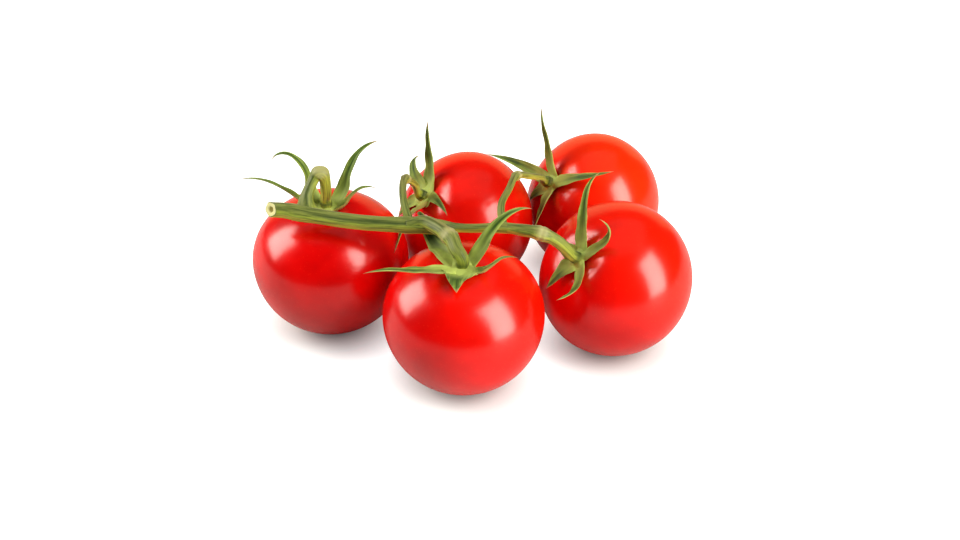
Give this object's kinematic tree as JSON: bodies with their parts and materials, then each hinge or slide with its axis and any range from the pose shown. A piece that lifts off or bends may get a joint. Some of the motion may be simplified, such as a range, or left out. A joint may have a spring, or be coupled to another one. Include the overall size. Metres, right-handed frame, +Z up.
{
  "type": "truss of tomatoes",
  "caption": "Ripe red cocktail tomatoes on their green truss: round fruits resting on a surface, joined by arched fruit stalks to one main stem, each with a star of curling sepals.",
  "frame": {"origin": "middle of the truss's footprint, on the surface it lies on", "axes": "+X along the main stem from its cut end towards its last fruit, +Y towards the rear fruits, +Z up from the surface"},
  "size_m": [0.1256, 0.1064, 0.0566],
  "materials": {
    "fruit_skin": "ripe tomato skin: smooth, waxy and glossy deep red, a little more orange on the shoulders",
    "sepal": "fresh green sepal: matt and finely hairy, darker on the upper side, dry tan tips",
    "stem": "green herbaceous stem: satin, lengthwise ridges, pale at the cut end"
  },
  "bodies": {
    "root": {"main_stem": "stem", "stalk_left": "stem", "stalk_front": "stem", "stalk_right": "stem", "stalk_rear_right": "stem", "stalk_rear_middle": "stem", "calyx_left": "sepal", "calyx_front": "sepal", "calyx_right": "sepal", "calyx_rear_right": "sepal", "calyx_rear_middle": "sepal", "tomato_left": "fruit_skin", "tomato_front": "fruit_skin", "tomato_right": "fruit_skin", "tomato_rear_right": "fruit_skin", "tomato_rear_middle": "fruit_skin"}
  },
  "joints": []
}
